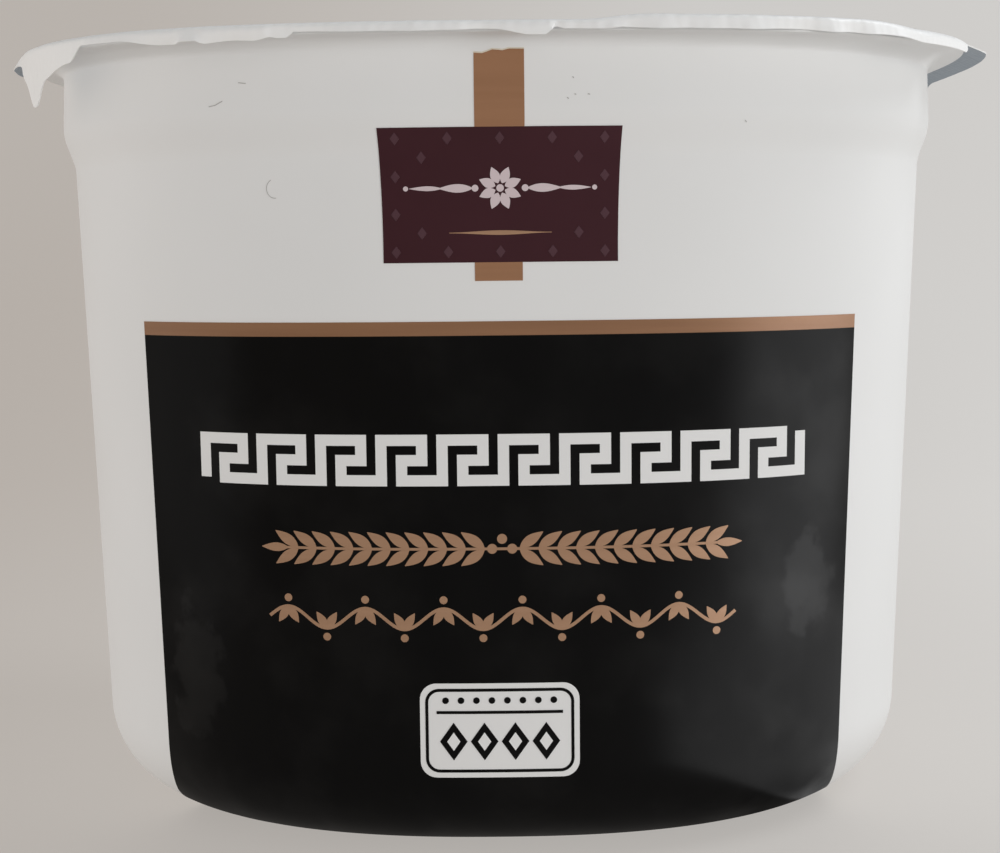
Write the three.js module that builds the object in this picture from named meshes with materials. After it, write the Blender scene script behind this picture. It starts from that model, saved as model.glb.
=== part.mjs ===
// A shut pot of burrata as it is sold: a squarish white plastic pot, a foil lid that is heat-sealed
// to its flange and folded over it, and the fields of colour printed on its front wall.
// Millimetres, +Z up. The base stands on z = 0, the axis is x = y = 0 and the print faces -Y.
import * as THREE from 'three';
import { mergeVertices } from 'three/addons/utils/BufferGeometryUtils.js';

// The pot. A half-width runs from the axis to the middle of a side.
const BASE_HALF = 41.94; // the wall's line carried down to the floor
const WALL_TAPER = THREE.MathUtils.degToRad(1.74);
const BASE_ROUND = 9.1; // radius between the flat base and the wall
const STEP_LOW = 63.8; // where the wall starts to swell into the collar
const STEP_HIGH = 68.2;
const COLLAR_HALF_LOW = 44.96;
const COLLAR_HALF_HIGH = 44.8;
const COLLAR_TOP = 73.1; // where the collar turns out into the flange
const FLANGE_HALF = 47.8;
const FLANGE_TOP = 74.75;
const FLANGE_THICK = 0.65;
const FLANGE_LIP = 1.6; // flat underside left outside the turn

// The plan is a superellipse, |x|^n + |y|^n = half^n. It grows squarer from the base to the flange.
const SQUARENESS_BASE = 2.39;
const SQUARENESS_COLLAR = 2.68;
const SQUARENESS_FLANGE = 2.9;

// The foil lid. Angles are in degrees about the axis, 0 at +X and -90 at the printed front.
const FOIL_THICK = 0.25;
const FOIL_GAP = 0.05; // between flange and foil
const FOIL_CROWN = 0.5; // how far the middle stands above the seal
const SEAL_WIDTH = 4; // flat ring pressed on the flange
// Past the flange the foil is a skirt: its length, how far it is folded down, and how tight the fold.
const SKIRT = { length: 1, droop: 78, bend: 0.6 };
// Stretches of the skirt that differ. Each holds over twice its half-angle and fades over soft.
const STRETCHES = [
  { at: 31, half: 55, soft: 8, length: 2.3, droop: 18, bend: 0.6 }, // loose edge at the right
  { at: 40, half: 6, soft: 25, length: 7.5, droop: 12, bend: 0.6 }, // pull tab at the back right corner
  { at: 215, half: 1, soft: 9, length: 5.9, droop: 91, bend: 0.6 }, // corner that hangs at the left
];

// The print. Widths are measured across the front wall.
const PRINT_GAP = 0.12; // between wall and print
const PRINT_THICK = 0.2;
const PRINT_SHIFT = 0.15; // the print sits a little to the right of the middle
const FIELD_GAP = 0.1; // between neighbouring fields
const PANEL_HALF = 32.1; // half-width of the dark panel at the floor
const PANEL_FLARE = 0.0231; // how much it widens for each millimetre up
const PANEL_WRAP = THREE.MathUtils.degToRad(70); // how far it runs round the base edge
const BAND_LOW = 48.04;
const BAND_HIGH = 49.3;
const BADGE_LOW = 54.49;
const BADGE_HIGH = 66.27;
const BADGE_HALF_LOW = 10.35;
const BADGE_HALF_HIGH = 10.75;
const RIBBON_LOW = 52.86;
const RIBBON_HIGH = 73;
const RIBBON_HALF = 2.12;

// Fineness of the faceted surfaces.
const AROUND = 72;
const CURVE_STEPS = 6;
const DISC_RINGS = [0.3, 0.6, 0.8, 1];
const SKIRT_RINGS = [1.15, 1.3, 1.5, 1.75, 2];
const MERGE_WITHIN = 1e-4;

const { lerp, clamp, degToRad, radToDeg, euclideanModulo, smoothstep } = THREE.MathUtils;

const FLANGE_UNDER = FLANGE_TOP - FLANGE_THICK;
const wallHalf = (z) => BASE_HALF + z * Math.tan(WALL_TAPER);
const ROUND_CENTRE = wallHalf(BASE_ROUND) - BASE_ROUND;

function squareness(z) {
  const onWall = lerp(SQUARENESS_BASE, SQUARENESS_COLLAR, clamp(z / STEP_LOW, 0, 1));
  return lerp(onWall, SQUARENESS_FLANGE, smoothstep(z, COLLAR_TOP, FLANGE_UNDER));
}

// How far the plan reaches at an angle, as a multiple of its half-width.
function planReach(angle, n) {
  const across = Math.abs(Math.cos(angle)) ** n;
  const along = Math.abs(Math.sin(angle)) ** n;
  return (across + along) ** (-1 / n);
}

// Half-width of the outside at a height, from the top of the base's rounding to the collar's top.
function sideHalf(z) {
  const swell = smoothstep(z, STEP_LOW, STEP_HIGH);
  const collar = lerp(COLLAR_HALF_LOW, COLLAR_HALF_HIGH, (z - STEP_HIGH) / (COLLAR_TOP - STEP_HIGH));
  return lerp(wallHalf(z), collar, swell);
}

// Moves every vertex of a closed geometry, joins the vertices that then coincide,
// and drops the triangles that a pole or a seam has left without area.
function reshape(geometry, move) {
  geometry.deleteAttribute('normal');
  geometry.deleteAttribute('uv');
  const place = geometry.getAttribute('position');
  const point = new THREE.Vector3();
  for (let i = 0; i < place.count; i += 1) {
    point.fromBufferAttribute(place, i);
    move(point);
    place.setXYZ(i, point.x, point.y, point.z);
  }
  const joined = mergeVertices(geometry, MERGE_WITHIN);
  const corners = Array.from(joined.index.array);
  const kept = [];
  for (let i = 0; i < corners.length; i += 3) {
    const [a, b, c] = corners.slice(i, i + 3);
    if (a !== b && b !== c && c !== a) kept.push(a, b, c);
  }
  joined.setIndex(kept);
  joined.computeVertexNormals();
  return joined;
}

// A lathe turns its profile about its own Y. The move takes an angle, a radius and a height,
// gives the new radius and height back, and the result stands along Z.
function turned(profile, move) {
  return reshape(new THREE.LatheGeometry(profile, AROUND), (p) => {
    const angle = Math.atan2(p.x, p.z);
    const [radius, height] = move(angle, Math.hypot(p.x, p.z), p.y);
    p.set(radius * Math.cos(angle), radius * Math.sin(angle), height);
  });
}

function potGeometry() {
  const outline = new THREE.Path();
  outline.moveTo(0, 0);
  outline.lineTo(ROUND_CENTRE, 0);
  outline.absarc(ROUND_CENTRE, BASE_ROUND, BASE_ROUND, -Math.PI / 2, 0, false);
  outline.lineTo(sideHalf(STEP_LOW), STEP_LOW);
  for (let step = 1; step <= CURVE_STEPS; step += 1) {
    const z = lerp(STEP_LOW, STEP_HIGH, step / CURVE_STEPS);
    outline.lineTo(sideHalf(z), z);
  }
  outline.lineTo(COLLAR_HALF_HIGH, COLLAR_TOP);
  outline.quadraticCurveTo(COLLAR_HALF_HIGH, FLANGE_UNDER, FLANGE_HALF - FLANGE_LIP, FLANGE_UNDER);
  outline.lineTo(FLANGE_HALF, FLANGE_UNDER);
  outline.lineTo(FLANGE_HALF, FLANGE_TOP);
  outline.lineTo(0, FLANGE_TOP);
  const profile = outline.getPoints(CURVE_STEPS);
  return turned(profile, (angle, half, z) => [half * planReach(angle, squareness(z)), z]);
}

// The skirt's length, droop and bend at an angle, with each stretch blended in where it holds.
function skirtAt(angle) {
  const here = { ...SKIRT };
  for (const stretch of STRETCHES) {
    const away = Math.abs(euclideanModulo(radToDeg(angle) - stretch.at + 180, 360) - 180);
    const weight = 1 - smoothstep(away, stretch.half, stretch.half + stretch.soft);
    for (const measure of Object.keys(here)) {
      here[measure] = lerp(here[measure], stretch[measure], weight);
    }
  }
  return here;
}

// The foil is a disc on the flange, rings 0 to 1, and a skirt round it, rings 1 to 2.
// Its under face is at face 0 and its upper face at face 1.
function foilGeometry() {
  const rings = [0, ...DISC_RINGS, ...SKIRT_RINGS];
  const under = rings.map((ring) => new THREE.Vector2(ring, 0));
  const over = rings.map((ring) => new THREE.Vector2(ring, 1)).reverse();
  return turned([...under, ...over], (angle, ring, face) => {
    const edge = FLANGE_HALF * planReach(angle, SQUARENESS_FLANGE) + FOIL_GAP;
    const depth = FOIL_THICK * (1 - face);
    const level = FLANGE_TOP + FOIL_GAP + FOIL_THICK - depth;
    if (ring <= 1) {
      const dome = 1 - (ring * edge / (edge - SEAL_WIDTH)) ** 2;
      return [ring * edge, level + FOIL_CROWN * Math.max(dome, 0)];
    }
    const skirt = skirtAt(angle);
    const run = (ring - 1) * skirt.length;
    const turn = Math.min(run / skirt.bend, degToRad(skirt.droop));
    const straight = run - turn * skirt.bend;
    const radius = skirt.bend - depth;
    return [
      edge + radius * Math.sin(turn) + straight * Math.cos(turn),
      level - radius * (1 - Math.cos(turn)) - straight * Math.sin(turn),
    ];
  });
}

// A field of print: a thin curved plate that lies on the front wall, from a low height to a high
// one. A field with a wrap also runs that angle round the base edge, on rows of its own.
function printGeometry({ low, high, half, columns, rows, wrap = 0, wrapRows = 0 }) {
  const box = new THREE.BoxGeometry(2, rows + wrapRows, 1, columns, rows + wrapRows, 1);
  const boxLow = -(rows + wrapRows) / 2;
  return reshape(box, (p) => {
    const row = p.y - boxLow - wrapRows;
    const tilt = Math.max(0, -row) * wrap / Math.max(1, wrapRows);
    const proud = PRINT_GAP + PRINT_THICK * (p.z + 0.5);
    const onWall = lerp(low, high, Math.max(0, row) / rows);
    const z = tilt > 0 ? BASE_ROUND - (BASE_ROUND + proud) * Math.sin(tilt) : onWall;
    const reach = tilt > 0 ? ROUND_CENTRE + (BASE_ROUND + proud) * Math.cos(tilt) : sideHalf(z) + proud;
    const n = squareness(z);
    const x = PRINT_SHIFT + p.x * half(z);
    p.set(x, -((reach ** n - Math.abs(x) ** n) ** (1 / n)), z);
  });
}

const panelHalf = (z) => PANEL_HALF + PANEL_FLARE * z;
const badgeHalf = (z) => lerp(BADGE_HALF_LOW, BADGE_HALF_HIGH, (z - BADGE_LOW) / (BADGE_HIGH - BADGE_LOW));
const ribbonHalf = () => RIBBON_HALF;

const whitePlastic = { color: 0xe9e8e6, roughness: 0.38, metalness: 0 };
const whiteFoil = { color: 0xe6e6e4, roughness: 0.45, metalness: 0.1 };
const blackInk = { color: 0x1b1a1b, roughness: 0.32, metalness: 0 };
const goldInk = { color: 0x9a7650, roughness: 0.42, metalness: 0.2 };
const wineInk = { color: 0x43232d, roughness: 0.4, metalness: 0 };

const sealedPot = new THREE.Group();

function addPiece(name, geometry, finish) {
  const piece = new THREE.Mesh(geometry, new THREE.MeshStandardMaterial(finish));
  piece.name = name;
  sealedPot.add(piece);
}

addPiece('pot', potGeometry(), whitePlastic);
addPiece('lid_foil', foilGeometry(), whiteFoil);

const fields = [
  {
    name: 'print_panel',
    finish: blackInk,
    field: {
      low: BASE_ROUND,
      high: BAND_LOW - FIELD_GAP,
      half: panelHalf,
      columns: 24,
      rows: 4,
      wrap: PANEL_WRAP,
      wrapRows: 8,
    },
  },
  {
    name: 'print_band',
    finish: goldInk,
    field: { low: BAND_LOW, high: BAND_HIGH, half: panelHalf, columns: 24, rows: 1 },
  },
  {
    name: 'print_ribbon_low',
    finish: goldInk,
    field: { low: RIBBON_LOW, high: BADGE_LOW - FIELD_GAP, half: ribbonHalf, columns: 2, rows: 1 },
  },
  {
    name: 'print_badge',
    finish: wineInk,
    field: { low: BADGE_LOW, high: BADGE_HIGH, half: badgeHalf, columns: 8, rows: 12 },
  },
  {
    name: 'print_ribbon_high',
    finish: goldInk,
    field: { low: BADGE_HIGH + FIELD_GAP, high: RIBBON_HIGH, half: ribbonHalf, columns: 2, rows: 8 },
  },
];
for (const { name, finish, field } of fields) addPiece(name, printGeometry(field), finish);

export default sealedPot;
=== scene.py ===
# %% [markdown]
# # A sealed pot of burrata
# This is a tub of soft cheese as a shop sells it: a squarish white plastic pot, a foil lid that is
# heat-sealed to its flange and folded over it, and fields of colour printed on the front wall.
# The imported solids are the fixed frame. They give the sizes and places, and the finer surfaces below
# take their place with the finish of the real thing.

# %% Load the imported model
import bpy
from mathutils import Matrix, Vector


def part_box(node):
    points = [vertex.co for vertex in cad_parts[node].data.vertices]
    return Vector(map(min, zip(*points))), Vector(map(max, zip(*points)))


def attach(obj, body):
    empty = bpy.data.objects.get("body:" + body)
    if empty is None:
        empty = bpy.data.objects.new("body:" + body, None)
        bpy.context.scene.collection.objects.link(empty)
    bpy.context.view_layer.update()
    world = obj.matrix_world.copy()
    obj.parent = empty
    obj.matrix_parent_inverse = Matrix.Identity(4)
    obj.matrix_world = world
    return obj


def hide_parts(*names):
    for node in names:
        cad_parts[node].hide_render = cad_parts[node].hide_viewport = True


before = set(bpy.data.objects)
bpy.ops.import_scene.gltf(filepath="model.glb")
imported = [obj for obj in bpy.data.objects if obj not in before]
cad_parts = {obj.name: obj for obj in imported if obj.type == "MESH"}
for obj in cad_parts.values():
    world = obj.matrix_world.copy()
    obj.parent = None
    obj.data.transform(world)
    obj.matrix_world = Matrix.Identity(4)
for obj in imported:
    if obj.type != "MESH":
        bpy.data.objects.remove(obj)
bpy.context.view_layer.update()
print("solids:", sorted(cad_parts))

# %% Tools and units
import math

import bpy
import numpy as np
from mathutils import Matrix, Vector

MM = 0.001  # sizes below are in millimetres, and become metres when a mesh is made


def corners_mm(node):
    """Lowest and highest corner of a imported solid, in millimetres."""
    low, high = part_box(node)
    return np.array(low) / MM, np.array(high) / MM


# %% [markdown]
# ## Camera
# The photograph was taken from close by, so its perspective is strong: the front of the flange shows
# from below while the base shows from above. A long lens far away would flatten that. The place, tilt
# and focal length here come from a fit to the pot's outline, so the same places land on the same pixels.

# %% Camera
PHOTO_WIDTH = 1000  # pixels
FOCAL_LENGTH = 1952.65  # pixels
SENSOR_WIDTH = 36
CAMERA_PLACE = Vector((0.07, -216.25, 55.07))
CAMERA_PITCH = 0.0873  # radians below the horizon
CAMERA_ROLL = -0.0106

camera = bpy.data.objects.new("camera", bpy.data.cameras.new("camera"))
camera.data.sensor_width = SENSOR_WIDTH
camera.data.lens = FOCAL_LENGTH / PHOTO_WIDTH * SENSOR_WIDTH
camera.data.clip_start = 0.01
tilt = Matrix.Rotation(math.pi / 2 - CAMERA_PITCH, 4, "X") @ Matrix.Rotation(CAMERA_ROLL, 4, "Z")
camera.matrix_world = Matrix.Translation(CAMERA_PLACE * MM) @ tilt
bpy.context.scene.collection.objects.link(camera)
bpy.context.scene.camera = camera
print("lens:", round(camera.data.lens, 2), "mm")

# %% [markdown]
# ## The pot's form
# Cut level, the pot is neither round nor square but between them: a superellipse, whose exponent says
# how square it is. It grows squarer from base to rim. Upright, the wall leans out a little, steps out
# into a collar and turns into the flange. Two small functions hold all of that, and every piece that
# lies on the wall asks them where the wall is.

# %% Plan and profile
BASE_HALF = 41.94  # half-width where the wall's line meets the floor
WALL_TAPER = math.radians(1.74)
BASE_ROUND = 9.1  # radius between base and wall
STEP_LOW = 63.8
STEP_HIGH = 68.2
COLLAR_HALF_LOW = 44.96
COLLAR_HALF_HIGH = 44.8
COLLAR_TOP = 73.1
FLANGE_THICK = 0.65
FLANGE_LIP = 1.6  # flat underside outside the turn
SQUARENESS_BASE = 2.39
SQUARENESS_COLLAR = 2.68
SQUARENESS_FLANGE = 2.9

pot_low, pot_high = corners_mm("pot")
FLANGE_HALF = pot_high[0]
FLANGE_TOP = pot_high[2]
FLANGE_UNDER = FLANGE_TOP - FLANGE_THICK


def smooth(value, low, high):
    """0 below low, 1 above high, and an even S-curve between: 3t squared minus 2t cubed."""
    t = np.clip((value - low) / (high - low), 0, 1)
    return t * t * (3 - 2 * t)


def between(first, second, share):
    """The value that lies this share of the way from first to second."""
    return first + (second - first) * share


def squareness(z):
    """The plan's exponent at a height: it grows evenly up the wall and once more in the flange's turn."""
    on_wall = between(SQUARENESS_BASE, SQUARENESS_COLLAR, np.clip(z / STEP_LOW, 0, 1))
    return between(on_wall, SQUARENESS_FLANGE, smooth(z, COLLAR_TOP, FLANGE_UNDER))


def plan_reach(angle, exponent):
    """How far the superellipse reaches at an angle, as a multiple of its half-width."""
    across = np.abs(np.cos(angle)) ** exponent
    along = np.abs(np.sin(angle)) ** exponent
    return (across + along) ** (-1 / exponent)


def wall_half(z):
    """Half-width of the plain tapered wall at a height."""
    return BASE_HALF + z * math.tan(WALL_TAPER)


def side_half(z):
    """Half-width of the outside above the base's rounding: the wall, swelling into the collar."""
    up_collar = (z - STEP_HIGH) / (COLLAR_TOP - STEP_HIGH)
    collar = between(COLLAR_HALF_LOW, COLLAR_HALF_HIGH, up_collar)
    return between(wall_half(z), collar, smooth(z, STEP_LOW, STEP_HIGH))


ROUND_CENTRE = wall_half(BASE_ROUND) - BASE_ROUND
print("flange:", round(2 * FLANGE_HALF, 1), "mm across, top at", round(FLANGE_TOP, 2), "mm")

# %% [markdown]
# ## From arrays to pieces
# Each surface is worked out as one array of points on a grid, and only its corner numbers say which
# points make a face. A skin that goes round the axis joins its last column to its first, and ends in a
# pole below and above. The signed volume is printed for each piece, because faces that look inwards
# would make it negative.

# %% Meshes from grids
def grid_quads(rows, columns, closed=False):
    """Corner numbers of the quads on a grid counted row by row. A closed grid joins its two ends."""
    row = np.arange(rows - 1)[:, None] * columns
    column = np.arange(columns if closed else columns - 1)[None, :]
    after = (column + 1) % columns
    quads = np.stack([row + column, row + after, row + columns + after, row + columns + column], -1)
    return quads.reshape(-1, 4)


def round_skin(rings):
    """A closed skin round the axis: rings of points from the lower pole out, up and in to the upper."""
    rows, columns, _ = rings.shape
    poles = np.stack([rings[0].mean(0), rings[-1].mean(0)])
    points = np.concatenate([rings.reshape(-1, 3), poles])
    here = np.arange(columns)
    after = (here + 1) % columns
    last = (rows - 1) * columns
    lower = np.stack([np.full(columns, rows * columns), after, here], -1)
    upper = np.stack([last + here, last + after, np.full(columns, rows * columns + 1)], -1)
    return points, [grid_quads(rows, columns, closed=True), lower, upper]


def signed_volume(points, faces):
    """Sum over all triangles of a . (b x c) / 6."""
    total = 0.0
    for group in faces:
        for corner in range(1, group.shape[1] - 1):
            a, b, c = points[group[:, 0]], points[group[:, corner]], points[group[:, corner + 1]]
            total += np.einsum("ij,ij->i", a, np.cross(b, c)).sum() / 6
    return total


SHARP_EDGE = math.radians(40)
# Lamps can be told what they light: the whole pot, or its varnished print alone.
POT_PIECES = bpy.data.collections.new("pot_pieces")
VARNISHED_PIECES = bpy.data.collections.new("varnished_pieces")


def add_mesh(name, points, faces, finishes):
    """Makes a smooth-shaded mesh object from points in millimetres and groups of corner numbers."""
    mesh = bpy.data.meshes.new(name)
    mesh.from_pydata((points * MM).tolist(), [], [face for group in faces for face in group.tolist()])
    for finish in finishes:
        mesh.materials.append(finish)
    mesh.shade_smooth()
    mesh.set_sharp_from_angle(angle=SHARP_EDGE)
    made = bpy.data.objects.new(name, mesh)
    bpy.context.scene.collection.objects.link(made)
    return made


def add_piece(name, points, faces, slot, *finishes, stands_for=()):
    """A piece of the pot: it rides on the one body, joins the varnished pieces if its slot ends in ink,
    and hides the solids it stands for.
    """
    piece = add_mesh(name, points, faces, finishes)
    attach(piece, "root")
    POT_PIECES.objects.link(piece)
    if slot.endswith("ink"):
        VARNISHED_PIECES.objects.link(piece)
    if stands_for:
        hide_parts(*stands_for)
    print(name, len(piece.data.polygons), "faces,", round(signed_volume(points, faces), 2), "mm3")
    return piece


# %% [markdown]
# ## Shader maths as plain formulas
# A finish is a small network of nodes. Wiring them one by one hides the idea, so an output socket is
# wrapped in a class whose + - * and / add the Math node for it. All other nodes come from one method,
# which takes the node's type, its settings and its sockets' values or wires.

# %% Wires and finishes
class Wire:
    """One output of a node. Arithmetic on it adds Math nodes to the same finish."""

    def __init__(self, finish, socket):
        self.finish = finish
        self.socket = socket

    def math(self, operation, first, second=0.0):
        """Adds a Math node on one value or two, and gives its result as a wire."""
        return self.finish.node("ShaderNodeMath", {"operation": operation}, {0: first, 1: second})

    def __add__(self, other):
        return self.math("ADD", self, other)

    def __radd__(self, other):
        return self.math("ADD", other, self)

    def __sub__(self, other):
        return self.math("SUBTRACT", self, other)

    def __rsub__(self, other):
        return self.math("SUBTRACT", other, self)

    def __mul__(self, other):
        return self.math("MULTIPLY", self, other)

    def __rmul__(self, other):
        return self.math("MULTIPLY", other, self)

    def __truediv__(self, other):
        return self.math("DIVIDE", self, other)

    def __rtruediv__(self, other):
        return self.math("DIVIDE", other, self)


class Finish:
    """A material in the making: its node tree, and the few kinds of node that the finishes share."""

    def __init__(self, name):
        self.material = bpy.data.materials.new(name)
        self.material.use_nodes = True
        self.tree = self.material.node_tree
        self.tree.nodes.clear()
        self.place = self.node("ShaderNodeTexCoord", {}, {}, "Object")

    def node(self, kind, settings, sockets, output=0):
        """Adds a node, sets it up, fills or links its sockets, and gives one output back as a wire."""
        made = self.tree.nodes.new(kind)
        for name, value in settings.items():
            setattr(made, name, value)
        for name, value in sockets.items():
            if isinstance(value, Wire):
                self.tree.links.new(value.socket, made.inputs[name])
            else:
                made.inputs[name].default_value = value
        return Wire(self, made.outputs[output]) if len(made.outputs) else None

    def along(self, axis):
        """The place along one axis, in millimetres."""
        return self.node("ShaderNodeSeparateXYZ", {}, {0: self.place}, axis) / MM

    def noise(self, size, detail=2.0, stretch=(1, 1, 1)):
        """Soft noise from 0 to 1 whose spots are about this many millimetres across, stretched or not."""
        scaled = self.node("ShaderNodeMapping", {}, {"Vector": self.place, "Scale": stretch})
        sockets = {"Vector": scaled, "Scale": 1 / (size * MM), "Detail": detail}
        return self.node("ShaderNodeTexNoise", {}, sockets, "Fac")

    def ramp(self, value, low, high):
        """0 below low, 1 above high, and an S-curve between."""
        sockets = {"Value": value, "From Min": low, "From Max": high}
        return self.node("ShaderNodeMapRange", {"interpolation_type": "SMOOTHSTEP"}, sockets)

    def mix(self, share, first, second):
        """A colour that lies this share of the way from first to second."""
        return self.node("ShaderNodeMix", {"data_type": "RGBA"}, {0: share, 6: first, 7: second}, 2)

    def relief(self, height):
        """A normal from a height in millimetres."""
        return self.node("ShaderNodeBump", {}, {"Strength": 1.0, "Distance": MM, "Height": height})

    def surface(self, sockets):
        """Ends the network in one Principled shader, and gives the material back."""
        shader = self.node("ShaderNodeBsdfPrincipled", {}, sockets)
        self.node("ShaderNodeOutputMaterial", {}, {"Surface": shader})
        print("finish", self.material.name, len(self.tree.nodes), "nodes")
        return self.material


# %% [markdown]
# ## White plastic
# The pot is moulded from white polypropylene. It is satin, a little cloudy, and so thin that the wall
# is never quite even, which shows where light slides along it. A flat white would look like plaster.
# Here broad waves and a fine grain tilt the surface, and soft clouds vary its white and its gloss.

# %% Finish of the pot
def white_plastic(name):
    finish = Finish(name)
    clouds = finish.noise(18, 3)
    grain = finish.noise(0.5, 2)
    waves = finish.noise(22, 1, (1, 1, 0.45))
    return finish.surface({
        "Base Color": finish.mix(clouds, (0.755, 0.755, 0.75, 1), (0.80, 0.80, 0.797, 1)),
        "Roughness": 0.30 + 0.16 * clouds + 0.06 * grain,
        "Normal": finish.relief(waves * 0.10 + grain * 0.003),
        "Specular IOR Level": 0.11,
    })


WHITE_PLASTIC = white_plastic("white_plastic")

# %% [markdown]
# ## The pot
# The pot is shut, so its skin is all there is. It is a profile carried round the axis: out along the
# base, round its edge, up the wall and collar, out under the flange, round its lip and back to the
# middle under the foil. A plain lathe would make it round, so the plan stretches every ring. The base
# has the shallow recess and the round gate mark that moulded pots have.

# %% The pot's profile
GATE_HALF = 2.2
GATE_SLOPE = 0.4
GATE_PROUD = 0.25
RECESS_HALF = 26.0
RECESS_DEPTH = 0.7
RECESS_SLOPE = 2.0
LIP_ROUND = 0.2
UNDER_FOIL = np.array([44.0, 35.0, 20.0, 8.0, 1.0])  # half-widths of the rings that the foil hides


def arc(centre, radius, start, end, steps):
    """Points on a circle from one angle to another, both ends among them."""
    angle = np.radians(np.linspace(start, end, steps))
    return np.stack([centre[0] + radius * np.cos(angle), centre[1] + radius * np.sin(angle)], -1)


def base_profile(half):
    """Height under the base: a recess that slopes in from the standing ring, with the gate mark on it."""
    recess = RECESS_DEPTH * (1 - smooth(half, RECESS_HALF - RECESS_SLOPE, RECESS_HALF))
    gate = GATE_PROUD * (1 - smooth(half, GATE_HALF - GATE_SLOPE, GATE_HALF))
    return np.stack([half, recess - gate], -1)


def turn_profile(steps):
    """The collar's turn into the flange: a curve drawn by its two ends and the corner between them."""
    t = np.linspace(0, 1, steps)[:, None]
    start = np.array([COLLAR_HALF_HIGH, COLLAR_TOP])
    corner = np.array([COLLAR_HALF_HIGH, FLANGE_UNDER])
    end = np.array([FLANGE_HALF - FLANGE_LIP, FLANGE_UNDER])
    return (1 - t) ** 2 * start + 2 * t * (1 - t) * corner + t ** 2 * end


def side_profile(low, high, steps):
    """The outside between two heights."""
    z = np.linspace(low, high, steps)
    return np.stack([side_half(z), z], -1)


lip_middle = FLANGE_HALF - LIP_ROUND
pot_profile = np.concatenate([
    base_profile(np.array([0.5, 1.2])),
    base_profile(np.linspace(GATE_HALF - GATE_SLOPE, GATE_HALF, 5)),
    base_profile(np.array([2.4, 8, 16])),
    base_profile(np.linspace(RECESS_HALF - RECESS_SLOPE, RECESS_HALF, 7)),
    base_profile(np.linspace(RECESS_HALF + 1, ROUND_CENTRE - 1, 4)),
    arc((ROUND_CENTRE, BASE_ROUND), BASE_ROUND, -90, 0, 25),
    side_profile(BASE_ROUND + 1, STEP_LOW, 45),
    side_profile(STEP_LOW + 0.2, STEP_HIGH, 20),
    side_profile(STEP_HIGH + 0.5, COLLAR_TOP - 0.1, 8),
    turn_profile(9),
    arc((lip_middle, FLANGE_UNDER + LIP_ROUND), LIP_ROUND, -90, 0, 5),
    arc((lip_middle, FLANGE_TOP - LIP_ROUND), LIP_ROUND, 0, 90, 5),
    np.stack([UNDER_FOIL, np.full(len(UNDER_FOIL), FLANGE_TOP)], -1),
])
print("pot profile:", len(pot_profile), "points")

# %% The pot
AROUND = 288  # columns of points round the axis
FLANGE_THINNED = 0.75  # share of its thickness that the flange loses at the right, out at its lip
# A span holds the angles in degrees where a stretch of the rim sets in, is full, is full no longer and
# ends: 0 is right, -90 the printed front.
THINNED_SPAN = (-40, -28, 60, 85)


def held(degrees, span):
    """How far a stretch of the rim holds at each angle: 0 outside its span, 1 where it is full, and an
    S-curve between. Each angle is first turned to lie within half a turn of the span's middle."""
    starts, full, full_until, ends = span
    middle = (starts + ends) / 2
    turned = (degrees - middle + 180) % 360 - 180 + middle
    return smooth(turned, starts, full) * (1 - smooth(turned, full_until, ends))


def carried_round(profile, columns):
    """A profile of half-widths and heights carried round the axis, stretched at each angle by the plan.
    Past the collar it is pressed up to the flange's top at the right, more the further out it is."""
    angle = np.linspace(-np.pi, np.pi, columns, endpoint=False)
    half, z = profile[:, :1], profile[:, 1:]
    reach = half * plan_reach(angle, squareness(z))
    past_collar = np.clip((half - COLLAR_HALF_HIGH) / (FLANGE_HALF - COLLAR_HALF_HIGH), 0, 1)
    pressed = FLANGE_THINNED * held(np.degrees(angle), THINNED_SPAN) * past_collar
    return np.stack([reach * np.cos(angle), reach * np.sin(angle), z + (FLANGE_TOP - z) * pressed], -1)


pot_points, pot_faces = round_skin(carried_round(pot_profile, AROUND))
add_piece("pot_shell", pot_points, pot_faces, "white_plastic", WHITE_PLASTIC, stands_for=["pot"])

# %% [markdown]
# ## Lidding foil
# The lid is aluminium foil, lacquered white outside and bare inside, pressed on the flange by a hot
# ring. Its blank is a little larger than the flange, so a skirt is left over. It is folded down most of
# the way round, stands out loose at the right, widens to a pull tab at the back right corner and hangs
# in a torn corner at the left. Drawn by hand, such a rim would need hundreds of points. Here a few
# measures, the skirt's length, droop, bend, ripple and lift, change from stretch to stretch.

# %% Finishes of the foil
STIPPLE_PITCH = 1.3  # embossed bumps over the whole lid
STIPPLE_DEPTH = 0.02
CREASE_DEPTH = 0.07


def foil_relief(finish):
    """Rows of embossed bumps, sin x times sin y, with fine creases between them."""
    wave = 2 * math.pi / (STIPPLE_PITCH * MM)
    scaled = finish.node("ShaderNodeVectorMath", {"operation": "SCALE"}, {0: finish.place, "Scale": wave})
    across, along = (finish.node("ShaderNodeSeparateXYZ", {}, {0: scaled}, axis) for axis in "XY")
    bumps = across.math("SINE", across) * along.math("SINE", along)
    creases = finish.noise(2.2, 3)
    return finish.relief(bumps * STIPPLE_DEPTH + creases * CREASE_DEPTH)


def white_lacquer():
    finish = Finish("white_foil_lacquer")
    clouds = finish.noise(9, 3)
    return finish.surface({
        "Base Color": finish.mix(clouds, (0.855, 0.855, 0.85, 1), (0.91, 0.91, 0.905, 1)),
        "Roughness": 0.30 + 0.18 * clouds,
        "Normal": foil_relief(finish),
    })


def bare_foil():
    finish = Finish("white_foil_inside")
    clouds = finish.noise(4, 3)
    return finish.surface({
        "Base Color": finish.mix(clouds, (0.20, 0.245, 0.295, 1), (0.27, 0.32, 0.37, 1)),
        "Roughness": 0.36 + 0.16 * clouds,
        "Normal": foil_relief(finish),
        "Metallic": 0.55,
    })


WHITE_LACQUER = white_lacquer()
BARE_FOIL = bare_foil()

# %% The skirt, all round
FOIL_COLUMNS = 1080
SKIRT = {"length": 1.2, "droop": 78.0, "bend": 0.6, "ripple": 1.0, "lift": 0.0}
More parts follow.
